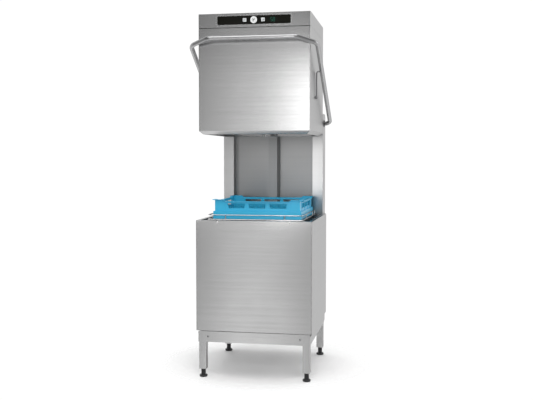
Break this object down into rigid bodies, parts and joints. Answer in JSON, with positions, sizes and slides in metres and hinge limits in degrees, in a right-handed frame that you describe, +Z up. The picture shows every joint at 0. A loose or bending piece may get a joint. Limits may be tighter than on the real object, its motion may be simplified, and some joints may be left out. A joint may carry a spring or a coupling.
{
  "type": "commercial dishwasher",
  "caption": "Stainless hood-type pass-through dishwasher with a lifting hood, bail handle, rear column, wash tank, spray arms, dish rack and adjustable feet.",
  "frame": {"origin": "centre of the bounding box's footprint, on the floor under the feet", "axes": "+Z up, the front with the control panel faces -Y, +X to the right seen from the front; the hood is open at rest"},
  "size_m": [0.713, 0.7931, 1.986],
  "materials": {
    "brushed_steel": "fine brushed grain",
    "pressed_steel": "satin pressed sheet",
    "polished_tube": "polished",
    "spring_steel": "drawn wire",
    "foot_plastic": "matte",
    "dark_plastic": "matte",
    "black_glass": "high gloss",
    "display": "gloss",
    "button_white": "satin",
    "button_grey": "satin",
    "circuit_board": "lacquered",
    "rack_plastic": "satin moulded",
    "machine_paint": "semi gloss"
  },
  "bodies": {
    "cabinet": {"legs": "brushed_steel", "base_frame": "brushed_steel", "base_pan": "brushed_steel", "front_apron": "brushed_steel", "side_skirts": "brushed_steel", "front_panel": "brushed_steel", "side_panel_left": "brushed_steel", "side_panel_right": "brushed_steel", "tank_rim": "brushed_steel", "tank": "pressed_steel", "strainer_plates": "pressed_steel", "strainer_basket": "pressed_steel", "standpipe": "dark_plastic", "lower_feed_pipe": "pressed_steel", "wash_riser": "pressed_steel", "rinse_riser": "pressed_steel", "riser_post": "brushed_steel", "upper_feed_manifold": "pressed_steel", "back_wall": "brushed_steel", "column_left": "brushed_steel", "column_right": "brushed_steel", "column_cap": "brushed_steel", "rear_cover": "brushed_steel", "pivot_bushes": "dark_plastic", "counter_springs": "spring_steel", "rack_track": "polished_tube", "wash_pump": "machine_paint", "drain_pump": "dark_plastic", "rinse_boiler": "pressed_steel", "tank_heater": "spring_steel", "dosing_pumps": "button_white", "inlet_valve": "dark_plastic", "electrical_box": "machine_paint", "panel_screws": "polished_tube"},
    "hood": {"hood_shell": "brushed_steel", "hood_lip": "brushed_steel", "hood_ceiling": "brushed_steel", "control_band": "brushed_steel", "control_glass": "black_glass", "display_window": "display", "control_board": "circuit_board", "hood_carriages": "pressed_steel", "guide_rollers": "dark_plastic", "link_bushes": "dark_plastic"},
    "handle": {"handle_bail": "polished_tube", "handle_cranks": "pressed_steel"},
    "link_left": {"lift_link_left": "spring_steel"},
    "link_right": {"lift_link_right": "spring_steel"},
    "start_key": {"start_button": "button_white"},
    "left_key": {"program_button_left": "button_grey"},
    "right_key": {"program_button_right": "button_grey"},
    "lower_wash_rotor": {"lower_wash_arm": "pressed_steel"},
    "lower_rinse_rotor": {"lower_rinse_arm": "pressed_steel"},
    "upper_wash_rotor": {"upper_wash_arm": "pressed_steel"},
    "upper_rinse_rotor": {"upper_rinse_arm": "pressed_steel"},
    "foot_fl": {"foot_front_left": "foot_plastic"},
    "foot_fr": {"foot_front_right": "foot_plastic"},
    "foot_rl": {"foot_rear_left": "foot_plastic"},
    "foot_rr": {"foot_rear_right": "foot_plastic"},
    "rack": {"dish_rack": "rack_plastic"}
  },
  "joints": [
    {"name": "hood_slide", "type": "slide", "parent": "cabinet", "child": "hood", "axis": [0, 0, 1], "range_m": [-0.48, 0]},
    {"name": "handle_pivot", "type": "hinge", "parent": "cabinet", "child": "handle", "pos_m": [0, 0.328, 1.418], "axis": [1, 0, 0], "range_deg": [-0.5, 55.8], "deforming": ["counter_springs"]},
    {"name": "link_left_pivot", "type": "hinge", "parent": "hood", "child": "link_left", "pos_m": [0, -0.11902, 1.544], "axis": [1, 0, 0], "range_deg": [-0.5, 12.3]},
    {"name": "link_right_pivot", "type": "hinge", "parent": "hood", "child": "link_right", "pos_m": [0, -0.11902, 1.544], "axis": [1, 0, 0], "range_deg": [-0.5, 12.3]},
    {"name": "start_press", "type": "slide", "parent": "hood", "child": "start_key", "axis": [0, 1, 0], "range_m": [0, 0.002], "stiffness_N_per_m": 900, "springref_m": -0.0005},
    {"name": "left_press", "type": "slide", "parent": "hood", "child": "left_key", "axis": [0, 1, 0], "range_m": [0, 0.002], "stiffness_N_per_m": 600, "springref_m": -0.0005},
    {"name": "right_press", "type": "slide", "parent": "hood", "child": "right_key", "axis": [0, 1, 0], "range_m": [0, 0.002], "stiffness_N_per_m": 600, "springref_m": -0.0005},
    {"name": "lower_wash_spin", "type": "hinge", "parent": "cabinet", "child": "lower_wash_rotor", "pos_m": [0, -0.033, 0.774], "axis": [0, 0, 1], "continuous": true},
    {"name": "lower_rinse_spin", "type": "hinge", "parent": "cabinet", "child": "lower_rinse_rotor", "pos_m": [0, -0.033, 0.796], "axis": [0, 0, 1], "continuous": true},
    {"name": "upper_wash_spin", "type": "hinge", "parent": "cabinet", "child": "upper_wash_rotor", "pos_m": [0, -0.033, 1.354], "axis": [0, 0, 1], "continuous": true},
    {"name": "upper_rinse_spin", "type": "hinge", "parent": "cabinet", "child": "upper_rinse_rotor", "pos_m": [0, -0.033, 1.376], "axis": [0, 0, 1], "continuous": true},
    {"name": "foot_fl_height", "type": "slide", "parent": "cabinet", "child": "foot_fl", "axis": [0, 0, 1], "range_m": [-0.025, 0]},
    {"name": "foot_fr_height", "type": "slide", "parent": "cabinet", "child": "foot_fr", "axis": [0, 0, 1], "range_m": [-0.025, 0]},
    {"name": "foot_rl_height", "type": "slide", "parent": "cabinet", "child": "foot_rl", "axis": [0, 0, 1], "range_m": [-0.025, 0]},
    {"name": "foot_rr_height", "type": "slide", "parent": "cabinet", "child": "foot_rr", "axis": [0, 0, 1], "range_m": [-0.025, 0]},
    {"name": "rack_lift", "type": "slide", "parent": "cabinet", "child": "rack", "axis": [0, 0, 1], "range_m": [0, 0.3]}
  ],
  "couplings": [
    {"joint": "handle_pivot", "follows": "hood_slide", "rad_per_m": -2.0075},
    {"joint": "link_left_pivot", "follows": "hood_slide", "rad_per_m": -0.42942},
    {"joint": "link_right_pivot", "follows": "hood_slide", "rad_per_m": -0.42942}
  ]
}
